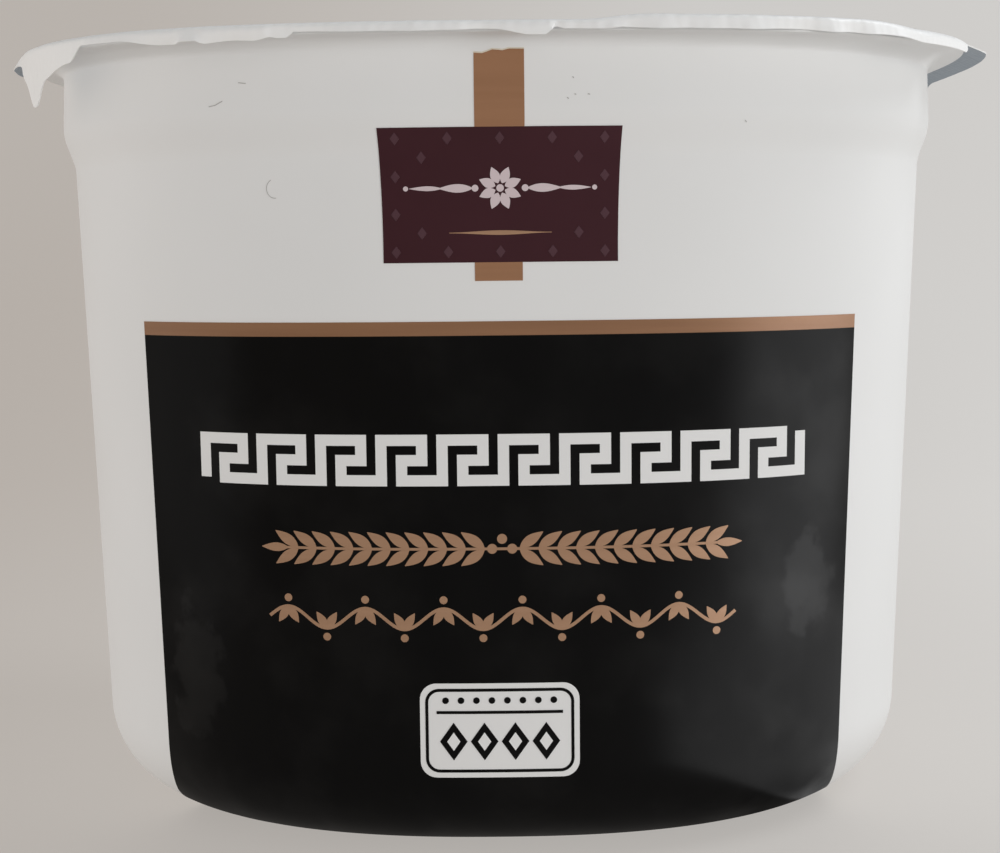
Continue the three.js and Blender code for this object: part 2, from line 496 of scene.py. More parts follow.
# Stretches that differ. A measure that a stretch leaves out stays as it is.
STRETCHES = [
    {"span": (-81, -75, -52, -44), "length": 1.6, "lift": 0.42},
    {"span": (-31, -29.8, 86, 94), "length": 2.3, "droop": 20, "bend": 0.6, "ripple": 0.1},
    {"span": (9, 34, 46, 71), "length": 7.5, "droop": 12, "bend": 0.6, "ripple": 0.3},
    {"span": (140, 160, 188, 196), "length": 0.9, "droop": 86, "bend": 0.4, "ripple": 0.2},
    {"span": (188, 197, 204, 211), "length": 1.8, "droop": 52, "bend": 0.9, "ripple": 0.3},
    {"span": (206, 213, 224.5, 226.5), "length": 2.6, "droop": 86, "bend": 0.6, "ripple": 0.2},
    {"span": (210, 214, 217, 225), "length": 4.0, "droop": 91, "bend": 0.6, "ripple": 0.1},
    {"span": (212.5, 215.3, 215.9, 219), "length": 6.0, "droop": 91, "bend": 0.6, "ripple": 0.0},
    {"span": (-128, -123, -114, -110.5), "length": 1.9, "droop": 104, "bend": 0.7, "ripple": 0.5},
    {"span": (-122, -121, -119.4, -118.6), "length": 1.7, "droop": 66, "bend": 0.6, "ripple": 0.5},
    {"span": (-112.6, -111.6, -110.6, -110), "length": 1.5, "droop": 86, "bend": 0.4, "ripple": 0.2},
    {"span": (-90, -86.5, -85, -84.2), "length": 1.8, "droop": 84, "bend": 0.8, "ripple": 0.2},
    {"span": (-84.4, -84, -83.7, -83), "length": 0.9, "droop": 86, "bend": 0.4, "ripple": 0.2},
    {"span": (-79.5, -78.4, -77.6, -76.5), "length": 1.4, "droop": 62, "bend": 0.6, "ripple": 0.6},
    {"span": (-62, -58, -53, -50), "length": 1.7, "ripple": 1.4},
    {"span": (-49, -44, -33, -30.5), "length": 1.7, "droop": 80, "bend": 0.8, "ripple": 0.4},
    {"span": (-31.2, -30.2, -29.6, -26), "length": 0.1, "droop": 20, "bend": 0.6, "ripple": 0.0},
]


def skirt_all_round(angle):
    """Measures of the skirt at each angle, with every stretch blended in where it holds."""
    here = {measure: np.full(angle.shape, value) for measure, value in SKIRT.items()}
    for stretch in STRETCHES:
        share = held(np.degrees(angle), stretch["span"])
        here = {
            measure: between(value, stretch.get(measure, value), share) for measure, value in here.items()
        }
    return here


def ripple(angle, lowest, highest, seed):
    """An uneven wave round the rim: a sum of cosines of whole numbers of turns, with drawn phases."""
    turns = np.arange(lowest, highest)[:, None]
    phase = np.random.default_rng(seed).uniform(0, 2 * np.pi, turns.shape)
    return np.cos(turns * angle + phase).sum(0) * math.sqrt(2 / len(turns))


foil_angle = np.linspace(0, 2 * np.pi, FOIL_COLUMNS, endpoint=False)
skirt = skirt_all_round(foil_angle)
fine_ripple = ripple(foil_angle, 30, 90, seed=3)
broad_ripple = ripple(foil_angle, 7, 24, seed=5)
print("skirt:", round(skirt["length"].min(), 2), "to", round(skirt["length"].max(), 2), "mm long")

# %% The foil
FOIL_GAP = 0.05
SEALED_THICK = 0.25  # foil and sealing lacquer on the flange
EDGE_THICK = 0.12  # foil alone at the free edge
FOIL_LEVEL = FLANGE_TOP + FOIL_GAP + SEALED_THICK
FOIL_CROWN = 0.5
SEAL_WIDTH = 4.0
SEAL_GROOVE = 0.12
GROOVE_WIDTH = 0.012  # a share of the disc inside the seal
# Heights of the broad and the fine ripple in the disc's face, in the skirt's length and in its face.
DISC_RIPPLE = (0.05, 0.02)
LENGTH_RIPPLE = (0.07, 0.05)
SKIRT_RIPPLE = (0.12, 0.10)
# Shares of the way from the middle to the rim, closer together at the seal, and then along the skirt.
DISC_RINGS = np.concatenate([
    [0.02, 0.1, 0.2, 0.3, 0.4, 0.5, 0.6, 0.7, 0.78, 0.84],
    np.linspace(0.87, 1, 12),
])
SKIRT_RINGS = np.linspace(0, 1, 15)[1:]

foil_edge = FLANGE_HALF * plan_reach(foil_angle, SQUARENESS_FLANGE) + FOIL_GAP


def rippled(heights):
    """The broad and the fine ripple added up, each with its own height."""
    return heights[0] * broad_ripple + heights[1] * fine_ripple


def foil_disc(under):
    """The sealed disc: a low dome inside a groove and a flat ring, with ripples that fade inwards. Where
    the foil has come loose, the ring lifts towards its edge."""
    ring = DISC_RINGS[:, None]
    radius = ring * foil_edge
    inside = radius / (foil_edge - SEAL_WIDTH)
    dome = FOIL_CROWN * np.clip(1 - inside ** 2, 0, None)
    groove = SEAL_GROOVE * np.exp(-((inside - 1) / GROOVE_WIDTH) ** 2)
    pucker = rippled(DISC_RIPPLE) * smooth(inside, 0.55, 0.97) * (inside < 1)
    lift = skirt["lift"] * smooth(inside, 1, 1.07)
    z = FOIL_LEVEL + dome - groove + pucker + lift - under * SEALED_THICK
    return radius, z


def foil_skirt(under):
    """The skirt: an arc of the bend's radius down to the droop, then straight, rippled along its normal."""
    ring = SKIRT_RINGS[:, None]
    run = ring * (skirt["length"] + skirt["ripple"] * rippled(LENGTH_RIPPLE))
    turn = np.minimum(run / skirt["bend"], np.radians(skirt["droop"]))
    straight = run - turn * skirt["bend"]
    thick = under * between(SEALED_THICK, EDGE_THICK, np.sqrt(ring))
    bend = skirt["bend"] - thick
    wave = ring * skirt["ripple"] * rippled(SKIRT_RIPPLE)
    radius = foil_edge + bend * np.sin(turn) + straight * np.cos(turn) + wave * np.sin(turn)
    z = FOIL_LEVEL + skirt["lift"] - thick - bend * (1 - np.cos(turn))
    z = z - straight * np.sin(turn) + wave * np.cos(turn)
    return radius, z


def foil_face(under):
    """One face of the foil from the middle to the free edge, the upper at 0 and the under at 1."""
    radius, z = (np.concatenate(pair) for pair in zip(foil_disc(under), foil_skirt(under)))
    return np.stack([radius * np.cos(foil_angle), radius * np.sin(foil_angle), z], -1)


foil_points, foil_faces = round_skin(np.concatenate([foil_face(1), foil_face(0)[::-1]]))
foil = add_piece(
    "foil_lid", foil_points, foil_faces, "white_foil", WHITE_LACQUER, BARE_FOIL, stands_for=["lid_foil"]
)

# %% Bare metal on the foil's under face
UNDER_ROWS = len(DISC_RINGS) + len(SKIRT_RINGS)
row_quads, low_fan, _ = foil_faces
is_under = np.zeros(len(foil.data.polygons), dtype=np.int32)
is_under[:(UNDER_ROWS - 1) * FOIL_COLUMNS] = 1
is_under[len(row_quads):len(row_quads) + len(low_fan)] = 1
foil.data.polygons.foreach_set("material_index", is_under)
print("bare faces:", int(is_under.sum()))

# %% [markdown]
# ## Print on the wall
# The colours on the front are ink and a paper seal, far thinner than the wall. A picture could paint
# them on, but a real edge needs no pixels: each field is a thin closed plate that follows the wall, a
# hair proud of it outside and sunk in it inside. A place in the print is given as a width x and a height
# along the wall.

# %% Places on the wall
PRINT_SHIFT = 0.15  # the print sits a little to the right of the middle


def on_wall(x, height, proud):
    """Points on the front at a width and a height, this far proud of the wall. Below the top of the base's
    rounding the height runs on along the rounding, so that a print can wrap round the edge."""
    tilt = np.clip((BASE_ROUND - height) / BASE_ROUND, 0, None)
    rounded = tilt > 0
    z = np.where(rounded, BASE_ROUND - (BASE_ROUND + proud) * np.sin(tilt), height)
    reach = np.where(rounded, ROUND_CENTRE + (BASE_ROUND + proud) * np.cos(tilt), side_half(z) + proud)
    exponent = squareness(z)
    y = -((reach ** exponent - np.abs(x) ** exponent) ** (1 / exponent))
    return np.stack([x, y, z], -1)


def plate_faces(count, rows, columns):
    """Corner numbers of closed plates: a front grid, the same grid turned round behind it, and a rim."""
    size = rows * columns
    front = grid_quads(rows, columns)
    number = np.arange(size).reshape(rows, columns)
    loop = np.concatenate([number[0, :-1], number[:-1, -1], number[-1, :0:-1], number[:0:-1, 0]])
    after = np.roll(loop, -1)
    rim = np.stack([loop, loop + size, after + size, after], -1)
    one = np.concatenate([front, front[:, ::-1] + size, rim])
    return (one[None] + 2 * size * np.arange(count)[:, None, None]).reshape(-1, 4)


def plates(x, height, low, high):
    """Closed plates on the wall from grids of widths and heights, shaped (count, rows, columns).
    A grid that runs the wrong way round is mirrored, so that its front looks out."""
    turned = np.gradient(x, axis=2) * np.gradient(height, axis=1)
    turned = turned - np.gradient(x, axis=1) * np.gradient(height, axis=2)
    backward = (turned.sum((1, 2)) < 0)[:, None, None]
    x = np.where(backward, x[:, :, ::-1], x)
    height = np.where(backward, height[:, :, ::-1], height)
    both = np.stack([on_wall(x, height, high), on_wall(x, height, low)], 1)
    return both.reshape(-1, 3), [plate_faces(*x.shape)]


def field(low, high, half, rows, columns, middle=PRINT_SHIFT):
    """A field of print from one height to another, whose half-width is a function of the height."""
    height = np.linspace(low, high, rows)[:, None]
    across = np.linspace(-1, 1, columns)[None, :]
    x = middle + across * half(height)
    return x[None], (height + 0 * across)[None]


# %% [markdown]
# ## Inks
# The inks are varnished, so they are glossier than the bare wall and show what is round them. Hands
# have left smudges on the dark panel, and the rollers that laid the ink have left faint upright
# streaks. The black's gloss is a thin coat over a dead matt ink, rubbed thinner low at the right: a full
# gloss would mirror the pale floor along the base. The gold is a brown with a little sparkle, as ink on
# the panel. On the ribbon it is lighter, partly the ribbon's own tone and partly painted light against
# the shade that the flange casts on it. The wine red is flat and dark.

# %% Black ink
UPRIGHT = (1, 1, 0.04)  # draws the spots of a noise out into upright streaks
# Middle and half-size of each finger mark, as width and height on the front.
RIGHT_MARK = ((28.4, 24.5), (2.7, 4.7))
LEFT_MARK = ((-28.5, 16.5), (2.7, 6.3))
RAGGEDNESS = 3.2
# Where the rubbing sets in and is full from left to right, and is full and ends from the base up.
RUBBED_ACROSS = (10, 28)
RUBBED_UP = (3.5, 8)


def finger_mark(finish, middle, half):
    """1 inside a ragged oval on the front, 0 outside: the squared way from its middle, with noise added."""
    across = (finish.along("X") - middle[0]) / half[0]
    up = (finish.along("Z") - middle[1]) / half[1]
    ragged = across * across + up * up + RAGGEDNESS * (finish.noise(2.6, 4) - 0.5)
    return 1 - finish.ramp(ragged, 0.5, 1.15)


def black_ink():
    finish = Finish("black_ink")
    smudges = finish.ramp(finish.noise(9, 4), 0.42, 0.72)
    streaks = finish.noise(6, 1, UPRIGHT)
    marks = 0.09 * finger_mark(finish, *RIGHT_MARK) + 0.13 * finger_mark(finish, *LEFT_MARK)
    low_down = 1 - finish.ramp(finish.along("Z"), *RUBBED_UP)
    rubbed = finish.ramp(finish.along("X"), *RUBBED_ACROSS) * low_down
    return finish.surface({
        "Base Color": finish.mix(smudges, (0.0014, 0.0013, 0.0014, 1), (0.0028, 0.0026, 0.0026, 1)),
        "Roughness": 0.5 + 0.2 * smudges,
        "Normal": finish.relief(finish.noise(0.6, 2) * 0.002),
        "Specular IOR Level": 0.0,
        "Coat Weight": 0.17 + 0.07 * smudges + 0.06 * streaks + marks - 0.14 * rubbed,
        "Coat Roughness": 0.3,
    })


BLACK_INK = black_ink()

# %% Gold, wine red and their lighter tones
def gold_ink(name, dark, light):
    finish = Finish(name)
    lines = finish.noise(0.7, 2, (0.04, 0.04, 1))
    flakes = finish.noise(0.25, 1)
    return finish.surface({
        "Base Color": finish.mix(lines, dark, light),
        "Roughness": 0.32 + 0.2 * flakes,
        "Normal": finish.relief(flakes * 0.003),
        "Metallic": 0.15,
        "Specular IOR Level": 0.5,
    })


def smudged_roughness(finish, least, spread):
    """Roughness of a varnished ink: faint upright streaks and soft smudges over an even gloss."""
    streaks = finish.noise(6, 1, UPRIGHT)
    smudges = finish.ramp(finish.noise(11, 4), 0.45, 0.75)
    return least + spread * smudges + 0.5 * spread * streaks


def wine_ink(name, dark, light):
    finish = Finish(name)
    return finish.surface({
        "Base Color": finish.mix(finish.noise(6, 3), dark, light),
        "Roughness": smudged_roughness(finish, 0.3, 0.14),
        "Normal": finish.relief(finish.noise(0.6, 2) * 0.002),
        "Specular IOR Level": 0.25,
    })


GOLD_INK = gold_ink("gold_ink", (0.215, 0.102, 0.048, 1), (0.29, 0.146, 0.072, 1))
# Lighter gold for the ribbon: partly its own tone, partly painted light against the flange's shade.
GOLD_WITH_PAINTED_LIGHT = gold_ink("gold_with_painted_light", (0.29, 0.14, 0.068, 1), (0.35, 0.176, 0.09, 1))
WINE_INK = wine_ink("wine_ink", (0.034, 0.0058, 0.0098, 1), (0.045, 0.0086, 0.0146, 1))
PALE_ROSE_INK = wine_ink("pale_rose_ink", (0.60, 0.50, 0.52, 1), (0.66, 0.56, 0.58, 1))
PALE_GOLD_INK = gold_ink("pale_gold_ink", (0.33, 0.185, 0.105, 1), (0.41, 0.24, 0.145, 1))
# A pale cream for the painted highlight along the ribbon's torn edge.
PAINTED_EDGE_HIGHLIGHT = wine_ink("painted_edge_highlight", (0.62, 0.56, 0.46, 1), (0.74, 0.68, 0.58, 1))
PALE_WINE_INK = wine_ink("pale_wine_ink", (0.065, 0.026, 0.035, 1), (0.085, 0.036, 0.047, 1))
WHITE_PRINT = white_plastic("white_print")

# %% [markdown]
# ## Fields of colour
# A broad dark panel wraps round the base edge and ends in a gold band on top. Above it a dark red badge
# is stuck over a gold ribbon whose upper end is torn. Cut from flat boxes they would stand off the round
# wall, so each is a grid on the wall: a half-width that changes with the height gives its sides.

# %% Widths of the fields
PANEL_HALF = 32.1
PANEL_FLARE = 0.0231
PANEL_WRAP = math.radians(80)
BADGE_HALF = 10.55
BADGE_FLARE = 0.2
BADGE_WAIST = 0.12
RIBBON_HALF = 2.19
FOOT_HALF = 2.11
SEAL_SHIFT = 0.3  # the badge and its ribbon sit a little further right
FOOT_SHIFT = 0.12

band_low, band_high = (corner[2] for corner in corners_mm("print_band"))
badge_low, badge_high = (corner[2] for corner in corners_mm("print_badge"))
ribbon_low = corners_mm("print_ribbon_low")[0][2]
ribbon_high = corners_mm("print_ribbon_high")[1][2]


def panel_half(height):
    """The dark panel widens a little with height."""
    return PANEL_HALF + PANEL_FLARE * np.clip(height, 0, None)


def badge_half(height):
    """The badge flares to its top, with sides that are drawn in a little at half height."""
    up = 2 * (height - badge_low) / (badge_high - badge_low) - 1
    return BADGE_HALF + BADGE_FLARE * up - BADGE_WAIST * (1 - up ** 2)


def ribbon_half(height):
    """The ribbon is even above the badge."""
    return RIBBON_HALF + 0 * height


def foot_half(height):
    """The ribbon's foot below the badge is even too, and a little narrower."""
    return FOOT_HALF + 0 * height


print("panel:", round(2 * panel_half(band_high), 2), "mm wide at its top")

# %% Torn ribbon and cut panel
# How far the ribbon's torn end falls short, from its left edge at -1 to its right edge at 1.
TORN_AT = np.array([-1, -0.67, -0.44, -0.27, 0, 0.13, 0.41, 1])
TORN_FALL = np.array([0.32, 0.37, 0.21, 0.06, 0.1, 0.15, 0.0, 0.03])
# The panel's lower left corner is cut off in a curve that sets in at one height and ends at another.
CUT_BELOW = 3.0
CUT_END = -2.5
CUT_WIDTH = 1.6


def torn_ribbon():
    """The upper ribbon, whose rows are drawn together where its end is torn off lower."""
    x, height = field(badge_high, ribbon_high, ribbon_half, 30, 41, SEAL_SHIFT)
    fall = np.interp((x - SEAL_SHIFT) / RIBBON_HALF, TORN_AT, TORN_FALL)
    share = (height - badge_high) / (ribbon_high - badge_high)
    return x, height - fall * share


def cut_panel():
    """The dark panel, whose lower left corner is cut round: its left half is drawn in towards the base,
    by the square of the way down."""
    x, height = field(BASE_ROUND * (1 - PANEL_WRAP), band_low, panel_half, 100, 140)
    cut = CUT_WIDTH * np.clip((CUT_BELOW - height) / (CUT_BELOW - CUT_END), 0, 1) ** 2
    return x + cut * np.clip(-x / PANEL_HALF, 0, 1), height


print("ribbon torn off", TORN_FALL.max(), "mm deep, panel cut", CUT_WIDTH, "mm wide")

# %% Fields of the print
FIELD_LOW = -0.05  # plates start just inside the wall
FIELD_HIGH = 0.05
# Name, solid, slot, finish and grid of each field.
FIELDS = [
    ("dark_panel", "print_panel", "black_ink", BLACK_INK, cut_panel()),
    ("gold_band", "print_band", "gold_ink", GOLD_INK, field(band_low, band_high, panel_half, 4, 140)),
    ("gold_ribbon_foot", "print_ribbon_low", "gold_ink", GOLD_WITH_PAINTED_LIGHT,
     field(ribbon_low, badge_low, foot_half, 6, 9, FOOT_SHIFT)),
    ("wine_badge", "print_badge", "wine_ink", WINE_INK,
     field(badge_low, badge_high, badge_half, 40, 33, SEAL_SHIFT)),
    ("gold_ribbon_head", "print_ribbon_high", "gold_ink", GOLD_WITH_PAINTED_LIGHT, torn_ribbon()),
]
for name, node, slot, finish, (x, height) in FIELDS:
    add_piece(name, *plates(x, height, FIELD_LOW, FIELD_HIGH), slot, finish, stands_for=[node])

# %% [markdown]
# ## Ornament
# The panel carries a bold pale Greek key and, below it, two finer garlands in gold. All are strokes,
# leaves and beads laid on the panel: a stroke is a path with a width, and mitred corners keep it even
# where the path turns. Printed from a picture they would blur close to, and these stay sharp.

# %% Strokes
STEP_LENGTH = 0.7  # strokes are cut this fine to follow the wall


def stroke(path, width):
    """A strip along a path. At a corner it is shifted along (n1 + n2) / (1 + n1 . n2), which mitres it,
    and only then cut into short steps, so that no step folds over at an inner corner."""
    ahead = np.diff(path, axis=0)
    lengths = np.linalg.norm(ahead, axis=1, keepdims=True)
    side = np.stack([-ahead[:, 1], ahead[:, 0]], -1) / lengths
    before, after = np.vstack([side[:1], side]), np.vstack([side, side[-1:]])
    mitre = (before + after) / (1 + (before * after).sum(1, keepdims=True))
    offset = mitre * np.reshape(width, (-1, 1)) / 2
    both = np.stack([path - offset, path + offset], 1)
    parts = math.ceil(lengths.max() / STEP_LENGTH)
    share = np.arange(parts)[None, :, None, None] / parts
    cut = both[:-1, None] + share * np.diff(both, axis=0)[:, None]
    strip = np.concatenate([cut.reshape(-1, 2, 2), both[-1:]])
    return strip[None, :, :, 0], strip[None, :, :, 1]


# %% Leaves, beads and lozenges
LEAF_BLUNT = 0.06  # width of a leaf's two ends, as a share of its full width
LEAF_BELLY = 0.85  # below 1, a leaf is widest nearer to its stalk


def leaves(x, height, angle, length, width):
    """Pointed leaves from their stalk ends: the width swells and dies as the sine of the way along."""
    along = np.linspace(0, 1, 11)[None, :, None]
    across = np.linspace(-1, 1, 5)[None, None, :]
    x, height, angle, length, width = (
        np.reshape(value, (-1, 1, 1)) for value in np.broadcast_arrays(x, height, angle, length, width)
    )
    half = width / 2 * (LEAF_BLUNT + (1 - LEAF_BLUNT) * np.sin(np.pi * along ** LEAF_BELLY))
    forward, sideways = along * length, across * half
    return (
        x + forward * np.cos(angle) - sideways * np.sin(angle),
        height + forward * np.sin(angle) + sideways * np.cos(angle),
    )


def beads(x, height, radius):
    """Round beads from a square grid: u shrinks by the root of 1 minus half of v squared, and v by the
    same of u."""
    u = np.linspace(-1, 1, 9)[None, None, :]
    v = np.linspace(-1, 1, 9)[None, :, None]
    x, height, radius = (np.reshape(value, (-1, 1, 1)) for value in np.broadcast_arrays(x, height, radius))
    return x + radius * u * np.sqrt(1 - v ** 2 / 2), height + radius * v * np.sqrt(1 - u ** 2 / 2)


def lozenges(x, height, half_width, half_height):
    """Diamonds from a square grid, turned by an eighth: across is u minus v, up is u plus v."""
    u = np.linspace(-0.5, 0.5, 3)[None, None, :]
    v = np.linspace(-0.5, 0.5, 3)[None, :, None]
    x, height = (np.reshape(value, (-1, 1, 1)) for value in np.broadcast_arrays(x, height))
    return x + half_width * (u - v), height + half_height * (u + v)


# %% Marks of one colour
MARK_LOW = 0.0
MARK_HIGH = 0.09
MARK_LAYER = 0.004  # each shape of a mark lies this much above the one before, so none share a plane


def add_marks(name, slot, finish, *shapes, low=MARK_LOW, high=MARK_HIGH):
    """Joins marks of one colour into one piece."""
    points, faces, start = [], [], 0
    for layer, (x, height) in enumerate(shapes):
        shape_points, (shape_faces,) = plates(x, height, low, high + layer * MARK_LAYER)
        points.append(shape_points)
        faces.append(shape_faces + start)
        start += len(shape_points)
    return add_piece(name, np.concatenate(points), faces, slot, finish)


# %% Greek key
KEY_LOW, KEY_HIGH = 34.6, 39.25
KEY_LEFT, KEY_RIGHT = -27.5, 28.2
KEY_UNITS = 10
# One unit of the key, on a lattice six steps wide and four high.
KEY_WIDE, KEY_TALL = 6, 4
KEY_STEPS = np.array([(0, 0), (0, 4), (4, 4), (4, 2), (2, 2), (2, 0)])

lattice = ((KEY_RIGHT - KEY_LEFT) - (KEY_HIGH - KEY_LOW)) / (KEY_WIDE * KEY_UNITS - KEY_TALL)
key_width = KEY_HIGH - KEY_LOW - KEY_TALL * lattice
units = KEY_STEPS[None] + np.array([KEY_WIDE, 0]) * np.arange(KEY_UNITS)[:, None, None]
key_end = np.array([(KEY_WIDE * KEY_UNITS, 0), (KEY_WIDE * KEY_UNITS, KEY_TALL)])
key_path = np.concatenate([units.reshape(-1, 2), key_end]) * lattice
key_path = key_path + np.array([KEY_LEFT, KEY_LOW]) + key_width / 2
add_marks("greek_key", "white_plastic", WHITE_PRINT, stroke(key_path, key_width))

# %% Upper garland
LAUREL_MIDDLE = 28.9
LAUREL_END = 21.9
LAUREL_PAIRS = 11
LAUREL_FIRST = 1.6  # the first pair's stalk, from the middle
LAUREL_LAST = 3.4  # the last pair's stalk, from the end
LAUREL_LEAF = (2.5, 0.95)  # length and width
LAUREL_TIP = 0.8  # width of the leaf at each end
LAUREL_STEM = 0.24
LAUREL_OFF_STEM = 0.12
LAUREL_BEAD = 0.45

stalk = np.linspace(LAUREL_FIRST, LAUREL_END - LAUREL_LAST, LAUREL_PAIRS)
spread = np.radians(34)
# Each row of leaves: its side, and the angle at which its leaves point up or down.
laurel_rows = [(1, spread), (1, -spread), (-1, np.pi - spread), (-1, np.pi + spread)]
laurel_leaves = []
for side, angle in laurel_rows:
    leaf_foot = LAUREL_MIDDLE + LAUREL_OFF_STEM * np.sign(np.sin(angle))
    laurel_leaves.append(leaves(PRINT_SHIFT + side * stalk, leaf_foot, angle, *LAUREL_LEAF))
tip_foot = PRINT_SHIFT + np.array([-1, 1]) * (LAUREL_END - LAUREL_LEAF[0])
laurel_tips = leaves(tip_foot, LAUREL_MIDDLE, np.array([np.pi, 0]), LAUREL_LEAF[0], LAUREL_TIP)
stem_x = PRINT_SHIFT + np.linspace(1 - LAUREL_END, LAUREL_END - 1, 60)
laurel_stem = np.stack([stem_x, np.full(len(stem_x), LAUREL_MIDDLE)], -1)
bead_x = PRINT_SHIFT + 2 * LAUREL_BEAD * np.array([-1, 0, 1])
bead_z = LAUREL_MIDDLE + 2 * LAUREL_BEAD * np.array([0, 1, 0])
laurel_beads = beads(bead_x, bead_z, LAUREL_BEAD)
add_marks(
    "laurel_garland", "gold_ink", PALE_GOLD_INK,
    stroke(laurel_stem, LAUREL_STEM), laurel_tips, laurel_beads, *laurel_leaves,
)

# %% Lower garland
VINE_MIDDLE = 22.5
VINE_END = 21.3
VINE_WAVES = 6
VINE_RISE = 0.95
VINE_STEM = 0.3
VINE_LEAF = (1.75, 0.8)
VINE_LEANS = (58, 122)  # degrees between the vine's run and its two leaves at a crest
VINE_BEAD = 0.36
VINE_BEAD_RISE = 1.75

vine_x = np.linspace(-VINE_END, VINE_END, 160)
vine_turn = 2 * np.pi * VINE_WAVES / (2 * VINE_END)
vine_path = np.stack([PRINT_SHIFT + vine_x, VINE_MIDDLE + VINE_RISE * np.sin(vine_turn * vine_x)], -1)
crest = (np.arange(2 * VINE_WAVES) + 0.5) * np.pi / vine_turn - VINE_END
upward = np.sign(np.sin(vine_turn * crest))
vine_leaves = [
    leaves(PRINT_SHIFT + crest, VINE_MIDDLE + upward * VINE_RISE, -upward * np.radians(lean), *VINE_LEAF)
    for lean in VINE_LEANS
]
vine_beads = beads(PRINT_SHIFT + crest, VINE_MIDDLE + upward * VINE_BEAD_RISE, VINE_BEAD)
add_marks(
    "vine_garland", "gold_ink", PALE_GOLD_INK,
    stroke(vine_path, VINE_STEM), vine_beads, *vine_leaves,
)

# %% [markdown]
# ## The white tile
# Low on the panel a white tile with round corners is left unprinted. Thin dark rules and a row of
# lozenges fill it. Its outline is a field like the others, whose half-width draws in near both ends.

# %% White tile
TILE_LOW, TILE_HIGH = 7.84, 16.58
TILE_HALF = 7.23
TILE_MIDDLE = -0.22
TILE_CORNER = 1.5


def rounded_half(height, low, high, half, corner):
    """Half-width of a box with round corners: near its ends it draws in along a quarter circle."""
    into = np.clip(corner - np.minimum(height - low, high - height), 0, corner)
    return half - corner + np.sqrt(corner ** 2 - into ** 2)


def rounded_box(low, high, half, corner):
    """A filled box with round corners. Rows crowd together at its ends, where it curves."""
    share = (1 - np.cos(np.linspace(0, np.pi, 33))) / 2
    height = between(low, high, share)[:, None]
    across = np.linspace(-1, 1, 25)[None, :]
    x = TILE_MIDDLE + across * rounded_half(height, low, high, half, corner)
    return x[None], (height + 0 * across)[None]


tile_box = rounded_box(TILE_LOW, TILE_HIGH, TILE_HALF, TILE_CORNER)
add_marks("white_tile", "white_plastic", WHITE_PRINT, tile_box)

# %% Rules and lozenges on the tile
INK_LOW, INK_HIGH = 0.05, 0.12
HEART_LOW, HEART_HIGH = 0.09, 0.15
RULE_WIDTH = 0.28
RULE_INSET = 0.62
RULE_CORNER_LOSS = 0.6  # share of the inset that is taken off the corner's radius
CROSS_RULE = 13.9
CROSS_INSET = 1.5
DOT_ROW = 15.0
DOT_END = 4.9
DOTS = 8
DOT_RADIUS = 0.3
LOZENGE_ROW = 11.2
LOZENGE_PITCH = 2.8
LOZENGES = 4
LOZENGE = (1.25, 1.75)  # half-width and half-height, and those of the white heart in it
HEART = (0.6, 0.85)


def rounded_rule(inset):
    """A closed rule inside the tile, as the path of a box with round corners."""
    low, high, half = TILE_LOW + inset, TILE_HIGH - inset, TILE_HALF - inset
    corner = TILE_CORNER - inset * RULE_CORNER_LOSS
    middles = [(half - corner, high - corner, 0), (corner - half, high - corner, 90),
               (corner - half, low + corner, 180), (half - corner, low + corner, 270)]
    round_parts = [arc((TILE_MIDDLE + x, z), corner, start, start + 90, 9) for x, z, start in middles]
    return np.concatenate(round_parts + [round_parts[0][:1]])


tile_columns = TILE_MIDDLE + LOZENGE_PITCH * (np.arange(LOZENGES) - (LOZENGES - 1) / 2)
cross_half = TILE_HALF - CROSS_INSET
cross_rule = np.array([(TILE_MIDDLE - cross_half, CROSS_RULE), (TILE_MIDDLE + cross_half, CROSS_RULE)])
add_marks(
    "tile_rules", "black_ink", BLACK_INK,
    stroke(rounded_rule(RULE_INSET), RULE_WIDTH),
    stroke(cross_rule, RULE_WIDTH),
    lozenges(tile_columns, LOZENGE_ROW, *LOZENGE),
    beads(TILE_MIDDLE + np.linspace(-DOT_END, DOT_END, DOTS), DOT_ROW, DOT_RADIUS),
    low=INK_LOW, high=INK_HIGH,
)
add_marks(
    "tile_hearts", "white_plastic", WHITE_PRINT,
    lozenges(tile_columns, LOZENGE_ROW, *HEART),
    low=HEART_LOW, high=HEART_HIGH,
)

# %% [markdown]
# ## The badge
# The badge is a dark wine-red field with a faint lattice in a lighter tone. In its middle a pale
# rosette stands between drawn-out leaves, over a thin gold line that tapers to both ends. These are the
# same leaves, beads, lozenges and strokes as on the panel, laid out anew, so no new shape is needed.

# %% Lattice on the badge
LATTICE_ACROSS, LATTICE_UP = 4.6, 1.65  # pitch of the staggered rows
LATTICE_REACH = 9.7
LATTICE_LOZENGE = (0.42, 0.55)
# Lozenges are kept only further out than this, and none in the middle row, so that the rosette, its
# leaves and the gold line stay clear.
CLEAR_UP = 4.0
CLEAR_ACROSS = 6.0

badge_centre = (badge_low + badge_high) / 2
lattice_x, lattice_z = np.meshgrid(np.arange(-2, 3) * LATTICE_ACROSS, np.arange(-3, 4) * LATTICE_UP)
lattice_x = lattice_x + LATTICE_ACROSS / 2 * (np.arange(len(lattice_x))[:, None] % 2)
outer_rows = np.abs(lattice_z) > CLEAR_UP
at_sides = (np.abs(lattice_x) > CLEAR_ACROSS) & (lattice_z != 0)
kept = (np.abs(lattice_x) < LATTICE_REACH) & (outer_rows | at_sides)
add_marks(
    "badge_lattice", "wine_ink", PALE_WINE_INK,
    lozenges(SEAL_SHIFT + lattice_x[kept], badge_centre + lattice_z[kept], *LATTICE_LOZENGE),
)

# %% Rosette and its leaves
ROSETTE_MIDDLE = badge_centre + 0.6
ROSETTE_PETALS = 8
ROSETTE_HEART = 0.33
PETAL_FOOT = 0.45  # from the rosette's middle
PETAL = (1.5, 0.85)  # length and width
